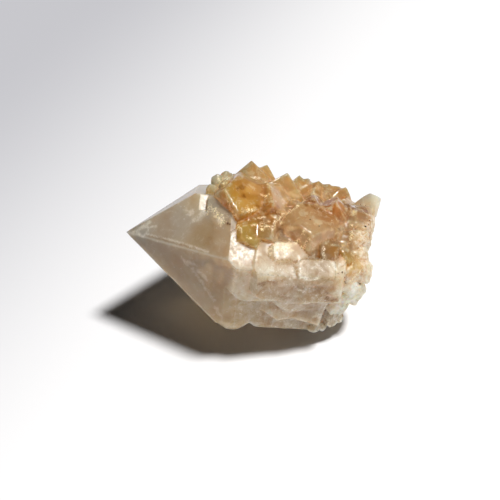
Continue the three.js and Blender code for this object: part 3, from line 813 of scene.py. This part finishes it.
# %% The colours inside
MILK = (0.93, 0.86, 0.74)
BRIGHT = (1.0, 0.95, 0.84)
RUST = (0.72, 0.50, 0.30)
SMOKE = (0.72, 0.68, 0.62)
STAIN = (0.50, 0.34, 0.20)
GOLD = (1.0, 0.66, 0.22)
PALE_GOLD = (1.0, 0.84, 0.52)
JOINT_GOLD = (1.0, 0.82, 0.48)
SPARK_GOLD = (1.0, 0.88, 0.58)
DARK_AMBER = (0.74, 0.55, 0.36)
SUGAR = (1.0, 0.95, 0.82)
GLINT = (1.0, 0.98, 0.9)
WARM_GLINT = (1.0, 0.86, 0.60)
print("colours: from milk", MILK, "to dark amber", DARK_AMBER)


# %% Patterns that the layers share
def clouds(graph, mm, scale, detail, roughness, distortion=0.0):
    """Soft noise, with features about 1 / scale mm across."""
    sockets = {"Scale": scale, "Detail": detail, "Roughness": roughness, "Distortion": distortion}
    return graph.node("ShaderNodeTexNoise", Vector=mm, **sockets)


def cells(graph, mm, scale):
    """A number of its own for each cell of a Voronoi pattern."""
    colour = graph.node("ShaderNodeTexVoronoi", output=1, Vector=mm, Scale=scale)
    return graph.node("ShaderNodeSeparateColor", Color=colour)


def patterns(graph):
    """The masks of the mesh and the patterns of the inside, by name."""
    at = SimpleNamespace(**{name: graph.read(name) for name in (FACE_MASKS | VERTEX_MASKS)})
    at.mm = graph.vector("SCALE", graph.node("ShaderNodeTexCoord", output=3), Scale=1 / MM)

    # four sizes of cloud, and bands of growth across the large point
    at.cloud = clouds(graph, at.mm, 0.16, 3, 0.5, 0.4)
    at.curd = clouds(graph, at.mm, 0.5, 4, 0.6, 0.6)
    at.grain = clouds(graph, at.mm, 1.7, 4, 0.7)
    at.fine = clouds(graph, at.mm, 3.4, 3, 0.65)
    line = {"noise_dimensions": "1D"}
    at.bands = graph.node("ShaderNodeTexNoise", line, W=at.along, Scale=1.1, Detail=4, Roughness=0.7)

    # patches with straight borders, like facets of the far side seen through the crystal
    drift = graph.node("ShaderNodeTexNoise", output=1, Vector=at.mm, Scale=0.5, Detail=2)
    warped = graph.vector("MULTIPLY_ADD", drift, (1.6, 1.6, 1.6), at.mm)
    at.pane = cells(graph, warped, 0.36)
    at.sliver = cells(graph, warped, 0.9)
    border = graph.node("ShaderNodeTexVoronoi", {"feature": "DISTANCE_TO_EDGE"}, Vector=warped, Scale=0.36)
    at.seam = border.step(0.03, 0.008)

    # thin wisps, and painted glints: dots that are brighter in some cells than in others
    at.wisp = (clouds(graph, at.mm, 0.34, 5, 0.5, 1.2) - 0.5).math("ABSOLUTE").step(0.022, 0.004)
    dots = graph.node("ShaderNodeTexVoronoi", Vector=at.mm, Scale=1.5).step(0.32, 0.12)
    at.glint = dots * cells(graph, at.mm, 1.5).step(0.62, 0.8) * at.curd.step(0.48, 0.56)

    # the lines are broken up by the clouds, and only small crystals have joints
    at.joint = at.groove * (1 - at.large)
    at.spark = at.spark * at.grain.step(0.4, 0.56) * at.fine.step(0.42, 0.58)
    at.veil = at.veil * (1 - at.large * 0.5) * (0.25 + at.grain.step(0.35, 0.6) * 0.5)
    return at


print("patterns:", len(FACE_MASKS), "masks of faces and", len(VERTEX_MASKS), "of vertices to read")


# %% Layers of the crown and of the front
def crown_layers(graph, at, colour):
    """Each crystal: a painted glow at its foot, a smokier tip, painted refraction shade, far side in patches.
    """
    # painted light: a glow at each crystal's foot, as if light gathered there
    colour = graph.mix(at.foot * at.crown * 0.22, colour, GOLD)
    colour = graph.stain((1 - at.foot) * at.crown * 0.25, colour, SMOKE)
    # painted refraction shade: each facet darker on the side away from its lighter side
    colour = graph.stain((1 - at.sheen) * at.crown * 0.2, colour, DARK_AMBER)
    colour = graph.stain(at.pane.step(0.55, 0.7) * at.crown * 0.25, colour, DARK_AMBER)
    colour = graph.mix(at.curd.step(0.52, 0.68) * at.crown * 0.22, colour, PALE_GOLD)
    slivers = at.sliver.step(0.84, 0.88) * at.curd.step(0.4, 0.6)
    colour = graph.mix(slivers * at.crown * 0.35, colour, PALE_GOLD)
    threads = (at.seam * 0.3 + at.wisp * 0.4) * at.curd.step(0.45, 0.62)
    return graph.mix(threads * at.crown, colour, PALE_GOLD)


def front_layers(graph, at, colour):
    """Milky curds and brown ones, crossed by the bands of growth, with fine flecks and wisps."""
    colour = graph.mix(at.curd.step(0.48, 0.7) * (0.1 + at.front * 0.4), colour, MILK)
    colour = graph.stain(at.curd.step(0.46, 0.32) * (0.14 + at.front * 0.3), colour, RUST)
    colour = graph.mix(at.sliver.step(0.72, 0.78) * at.front * 0.12, colour, BRIGHT)
    colour = graph.mix(at.bands.step(0.56, 0.7) * at.front * 0.14, colour, BRIGHT)
    bright_flecks = at.fine.step(0.56, 0.68) * at.curd.step(0.42, 0.56)
    colour = graph.mix(bright_flecks * at.front * 0.5, colour, BRIGHT)
    brown_flecks = at.fine.step(0.46, 0.36) * at.curd.step(0.56, 0.44)
    colour = graph.stain(brown_flecks * at.front * 0.35, colour, RUST)
    wisps = at.wisp * at.curd.step(0.42, 0.6) * (0.12 + at.front * 0.2)
    return graph.mix(wisps * (1 - at.crown), colour, BRIGHT)


for layer in (crown_layers, front_layers):
    print(layer.__name__, "-", layer.__doc__)


# %% Layers of the root, the joints and the lines
def root_layers(graph, at, colour):
    """White sugar over brown pits."""
    colour = graph.mix(at.root * at.grain.step(0.42, 0.62) * 0.5, colour, SUGAR)
    colour = graph.stain(at.root * at.grain.step(0.44, 0.3) * 0.4, colour, RUST)
    return graph.mix(at.root * at.fine.step(0.56, 0.66) * 0.4, colour, SUGAR)


def joint_layers(graph, at, colour):
    """Joints: a painted glow and darker patches. Edges: lighter, worn and painted highlight; in the crown,
    painted dark outlines. Cracks and painted shade are dark.
    """
    lit = at.joint * at.grain.step(0.4, 0.56) * at.curd.step(0.42, 0.6)
    # painted light: a golden glow at the crown's joints, where light gathers
    colour = graph.mix(lit * at.crown * 0.6, colour, JOINT_GOLD)
    colour = graph.stain(at.joint * (at.grain.step(0.5, 0.36) * 0.5 + at.root * 0.15), colour, STAIN)
    # cracks are dark, and so is the painted shade in gaps and along edges
    dark = at.crack * (0.4 + at.grain.step(0.6, 0.4) * 0.45)
    colour = graph.stain(dark * (1 - at.large * 0.45), colour, STAIN)
    # edges lighter: partly wear, partly a painted highlight
    wear_and_highlight = graph.mix(at.crown, BRIGHT, PALE_GOLD)
    colour = graph.mix(at.edge * at.curd.step(0.45, 0.55) * (0.1 + at.crown * 0.15), colour, wear_and_highlight)
    # painted shade: dark outlines on the crown's edges
    return graph.stain(at.edge * at.curd.step(0.5, 0.4) * at.crown * 0.4, colour, DARK_AMBER)


def line_layers(graph, at, colour):
    """Veils with painted highlights and glow, sparks of painted light, the ridge, and painted glints."""
    # veils, with painted highlights and glow among them
    colour = graph.mix(at.veil, colour, BRIGHT)
    # painted light: golden sparks where light gathers at the joints
    colour = graph.mix(at.spark * 0.8, colour, SPARK_GOLD)
    colour = graph.mix(at.ridge * 0.3, colour, BRIGHT)
    # painted glints: tiny bright spots
    glint = graph.mix(at.crown, GLINT, WARM_GLINT)
    return graph.mix(at.glint * (0.35 + at.crown * 0.35 + at.front * 0.45), colour, glint)


LAYERS = (crown_layers, front_layers, root_layers, joint_layers, line_layers)
for layer in LAYERS[2:]:
    print(layer.__name__, "-", layer.__doc__)

# %% [markdown]
# ## The quartz
# Cracks and bubbles scatter light, so the finish mixes two shaders: a see-through one, with quartz's index of
# refraction, and one that scatters light below its surface. The share of the clear one is highest in the
# amber crown and lowest in the milky front. The broken root has a sugary finish of its own, made of grains
# that each tilt their own way. The etched sides of the first steps are covered in tiny facets that glitter.
# A volume that absorbs blue light makes thick parts warmer than thin ones.

# %% Numbers of the quartz
IOR = 1.544
SCATTER = (1.0, 0.80, 0.58)  # how far red, green and blue light travel inside, set against each other
MILK_DEPTH = 8.0 * MM  # how far light travels in the body, in the sugary root and in the etched sides
SUGAR_DEPTH = 6.0 * MM
ETCHED_DEPTH = 3.0 * MM
ABSORBED = (0.9, 0.72, 0.45, 1)  # the colour that white light turns to inside
DENSITY = 30.0  # how quickly it does, per metre
BUMP_HEIGHT = 0.1 * MM  # how high the bands and clouds of the surface stand
SUGAR_GRAINS = ((1.5, 1.1), (3.6, 0.9))  # two sizes of grain, as (how many per mm, how steep)
GLITTER_FACETS = (3.2, 0.36)  # the same for the etched sides' little facets
GLINT_TILT = Vector((-0.10, 0.03, 0.05))  # which lean this way on average


def tilted_facets(graph, mm, per_mm, spread, tilt=(0, 0, 0)):
    """The height of a surface broken into little flat facets, each with a slope of its own up to spread."""
    own = graph.node("ShaderNodeTexVoronoi", output=1, Vector=mm, Scale=per_mm)
    centre = graph.node("ShaderNodeTexVoronoi", output=2, Vector=mm, Scale=per_mm)
    slope = graph.vector("MULTIPLY_ADD", own, (spread,) * 3, tuple(-spread / 2 - v for v in tilt))
    return graph.vector("DOT_PRODUCT", graph.vector("SUBTRACT", mm, centre), slope, output=1)


def bump(graph, height, distance):
    """A normal that follows a height."""
    return graph.node("ShaderNodeBump", Strength=1.0, Distance=distance, Height=height)


def scattering(graph, depth, **sockets):
    """Quartz that is cloudy inside, where light travels for about this depth."""
    inside = {"Subsurface_Weight": 1.0, "Subsurface_Radius": SCATTER, "Subsurface_Scale": depth}
    return graph.node("ShaderNodeBsdfPrincipled", IOR=IOR, **inside, **sockets)


print("quartz: index of refraction", IOR)


# %% The quartz finish
def quartz(name):
    graph = Graph(name)
    at = patterns(graph)
    rusty_clouds = at.cloud.step(0.38, 0.66) * (0.28 - at.crown * 0.14)
    colour = graph.stain(rusty_clouds, graph.read_colour("tint"), RUST)
    for layer in LAYERS:
        colour = layer(graph, at, colour)

    growth = at.fine * (0.05 + at.front * 0.25) + at.bands * (at.front * (1 - at.bench) * 0.35 + 0.05)
    normal = bump(graph, growth, BUMP_HEIGHT)
    milky_quartz = scattering(
        graph,
        MILK_DEPTH,
        Base_Color=colour,
        Roughness=0.2 + at.bench * 0.3 + at.facet * (1 - at.crown) * 0.1 - at.crown * 0.07,
        Specular_IOR_Level=0.25,
        Normal=normal,
    )
    clear_quartz = graph.node(
        "ShaderNodeBsdfPrincipled",
        Base_Color=graph.node("ShaderNodeGamma", Color=colour, Gamma=0.6),
        Roughness=0.05 + at.bench * 0.35,
        IOR=IOR,
        Transmission_Weight=1.0,
        Normal=normal,
    )
    # the clear share is taken away under the painted sparks, veils and highlights, and partly under the
    # crown's joints, so that what is painted there stays bright
    clear_share = 0.25 + at.crown * 0.2 - at.front * 0.08 + at.facet * 0.1
    clear_share = clear_share * (1 - at.spark) * (1 - at.veil) * (1 - at.joint * at.crown * 0.3)
    body = graph.node("ShaderNodeMixShader", i0=clear_share, i1=milky_quartz, i2=clear_quartz)

    coarse, small = [tilted_facets(graph, at.mm, per_mm, spread) for per_mm, spread in SUGAR_GRAINS]
    sugar = bump(graph, coarse + small, MM)
    sugary_quartz = scattering(graph, SUGAR_DEPTH, Base_Color=colour, Roughness=0.38, Normal=sugar)
    sugary_share = at.root * (0.5 + at.curd.step(0.35, 0.6) * 0.5)
    body = graph.node("ShaderNodeMixShader", i0=sugary_share, i1=body, i2=sugary_quartz)

    etched_quartz = scattering(
        graph,
        ETCHED_DEPTH,
        Base_Color=graph.mix(at.etched * 0.4, colour, BRIGHT),
        Roughness=0.4,
        Specular_IOR_Level=0.8,
        Normal=bump(graph, tilted_facets(graph, at.mm, *GLITTER_FACETS, GLINT_TILT), MM),
    )
    # the sparks also glitter for real, with the etched shader's little facets catching the lamp
    etched_share = (at.etched * at.curd.step(0.25, 0.5)).math("MAXIMUM", at.spark * 0.8)
    surface = graph.node("ShaderNodeMixShader", i0=etched_share, i1=body, i2=etched_quartz)
    volume = graph.node("ShaderNodeVolumeAbsorption", Color=ABSORBED, Density=DENSITY)
    graph.node("ShaderNodeOutputMaterial", Surface=surface, Volume=volume)
    return graph.material


skin.data.materials.clear()
skin.data.materials.append(quartz("quartz"))
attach(skin, "root")
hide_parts("quartz_cluster")
print("quartz on", skin.name, "with", len(skin.data.materials[0].node_tree.nodes), "nodes")

# %% [markdown]
# ## Grains of iron oxide
# Small dark grains sit in the joints, where the rusty water that stained the crystals dried up. Each is a
# little ball with its vertices shaken, half sunk into the quartz. Painted dots would do from far off, but
# real grains keep their shape and their shadow close by. Placing them all one by one would take long, so
# only the ones that catch the eye are listed, and the rest fall into random grooves near the root.

# %% Placing the grains
# each is (mm behind the tip, way, mm from the axis, its radius in mm)
GRAINS = [
    (21.8, 37, 16.1, 0.22), (22.3, 38, 16.4, 0.16), (45.5, 61, 20.9, 0.12), (46.3, 67, 19.4, 0.16),
    (44.6, 62, 21.1, 0.1), (46, 64, 20.2, 0.12), (38.1, 32, 19.4, 0.16), (40, 36, 20, 0.14),
    (50.3, 30, 18, 0.2), (51.5, 26, 17.5, 0.16),
]
SCATTERED = 46  # how many more fall at random
SCATTERED_RADIUS = (0.07, 0.15)  # mm
STRETCH = (0.5, 1.7)  # how long a grain is along each axis, next to a round one
SHAKEN = 0.3  # how far its vertices are shaken, as a share of its radius
RAISED = 0.15  # how far its middle stands above the quartz, as a share of its radius
NEAR_ROOT = -3  # mm: the random ones start this far before the root's border
ROOT_WAYS = (-30, 140)  # and lie between these ways

surface = BVHTree.FromPolygons(moved.tolist(), [tuple(face.vertices) for face in skin.data.polygons])
grains = bmesh.new()


def add_grain(at, radius):
    """A lumpy ball in the quartz at the place nearest to a point."""
    here, normal, _, _ = surface.find_nearest(Vector(at))
    ball = bmesh.ops.create_icosphere(grains, subdivisions=2, radius=radius)["verts"]
    stretch = Vector(dice.uniform(*STRETCH, 3))
    for vertex in ball:
        vertex.co *= stretch * (1 + SHAKEN * noise.noise(vertex.co / radius * 1.3 + here / MM))
        vertex.co += here + normal * radius * RAISED


for *spot, radius in GRAINS:
    add_grain(place(*spot), radius * MM)
in_reach = (past_root > NEAR_ROOT) & (way > ROOT_WAYS[0]) & (way < ROOT_WAYS[1])
joints = np.flatnonzero((groove > 0.6) & in_reach)
for vertex_index in dice.choice(joints, SCATTERED, replace=False):
    add_grain(moved[vertex_index], dice.uniform(*SCATTERED_RADIUS) * MM)
grains_mesh = bpy.data.meshes.new("iron_grains")
grains.to_mesh(grains_mesh)
grains_mesh.shade_smooth()
iron = bpy.data.objects.new("iron_grains", grains_mesh)
bpy.context.collection.objects.link(iron)
print("grains:", len(GRAINS) + SCATTERED)

# %% Iron oxide
DARK_OXIDE = (0.05, 0.025, 0.012)
RUSTY_OXIDE = (0.24, 0.11, 0.045)


def iron_oxide():
    graph = Graph("iron oxide")
    mm = graph.vector("SCALE", graph.node("ShaderNodeTexCoord", output=3), Scale=1 / MM)
    crust = clouds(graph, mm, 6.0, 4, 0.7)
    shader = graph.node(
        "ShaderNodeBsdfPrincipled",
        Base_Color=graph.mix(crust.step(0.4, 0.65), DARK_OXIDE, RUSTY_OXIDE),
        Roughness=0.6 + crust * 0.3,
        Normal=bump(graph, crust, 0.05 * MM),
    )
    graph.node("ShaderNodeOutputMaterial", Surface=shader)
    return graph.material


iron.data.materials.append(iron_oxide())
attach(iron, "root")
print("iron oxide on", iron.name)

# %% [markdown]
# ## The floor, the light and the camera
# The specimen lies on a sheet of white paper under one soft lamp, nearly overhead and a little to the right,
# which throws a short dark shadow to the left. A sun lamp with a wide disc gives the shadow a soft border.
# The paper's colour is painted a darker grey towards the back left, as painted shade of the light falling off
# there, which also deepens the shadow on it. A weak pale world fills the shadows, and most of the light in
# them comes back from the paper. The camera looks down at 40 degrees through a long lens, so that the
# crystals hardly shrink with distance.

# %% The floor
FLOOR_SIZE = 3  # metres: it reaches well past the picture
# painted shade: the colour of the paper where less light falls
SHADED_PAPER = (0.46, 0.465, 0.50)
WHITE_PAPER = (0.84, 0.845, 0.86)
PAPER_FADE = (-0.11, 0.0)  # metres from the back left to the front right, where the painted shade turns to white


def white_paper():
    graph = Graph("white paper")
    split = graph.node("ShaderNodeSeparateXYZ", Vector=graph.node("ShaderNodeTexCoord", output=3))
    # painted shade: the paper darker towards the back left, where less light falls
    painted_falloff = (split * 0.9 + split.second() * -0.45).step(*PAPER_FADE)
    paper = graph.mix(painted_falloff, SHADED_PAPER, WHITE_PAPER)
    shader = graph.node("ShaderNodeBsdfPrincipled", Base_Color=paper, Roughness=0.7)
    graph.node("ShaderNodeOutputMaterial", Surface=shader)
    return graph.material


bpy.ops.mesh.primitive_plane_add(size=FLOOR_SIZE)
floor = bpy.context.object
floor.name = "floor"
floor.data.materials.append(white_paper())
print("floor laid")

# %% The light
LAMP_FROM = Vector((0.367, -0.03, 1))  # the lamp hangs this way from the specimen
LAMP_STRENGTH = 4.2
LAMP_WIDTH = math.radians(10)  # how wide its disc looks from the specimen
LAMP_COLOUR = (1.0, 0.985, 0.965)
ROOM_COLOUR = (0.82, 0.86, 0.93, 1)
ROOM_STRENGTH = 0.016

lamp_data = bpy.data.lights.new("lamp", "SUN")
lamp_data.energy = LAMP_STRENGTH
lamp_data.angle = LAMP_WIDTH
lamp_data.color = LAMP_COLOUR
lamp = bpy.data.objects.new("lamp", lamp_data)
bpy.context.collection.objects.link(lamp)
lamp.rotation_euler = LAMP_FROM.to_track_quat("Z", "Y").to_euler()

room = bpy.data.worlds.new("room")
bpy.context.scene.world = room
room.use_nodes = True
room.node_tree.nodes["Background"].inputs["Color"].default_value = ROOM_COLOUR
room.node_tree.nodes["Background"].inputs["Strength"].default_value = ROOM_STRENGTH
bpy.context.scene.view_settings.view_transform = "Standard"
print("lit by a lamp of", LAMP_STRENGTH, "and a room of", ROOM_STRENGTH)

# %% The camera
ELEVATION = math.radians(40)
DISTANCE = 0.255
TARGET = Vector((-1.39, 0.48, 12.78)) * MM

camera_data = bpy.data.cameras.new("camera")
camera_data.lens = 85
camera_data.sensor_width = 36
camera_data.clip_start = 0.01
camera = bpy.data.objects.new("camera", camera_data)
bpy.context.collection.objects.link(camera)
camera.location = TARGET + Vector((0, -math.cos(ELEVATION), math.sin(ELEVATION))) * DISTANCE
camera.rotation_euler = (math.pi / 2 - ELEVATION, 0, 0)
bpy.context.scene.camera = camera
print("camera at", [round(v, 3) for v in camera.location])
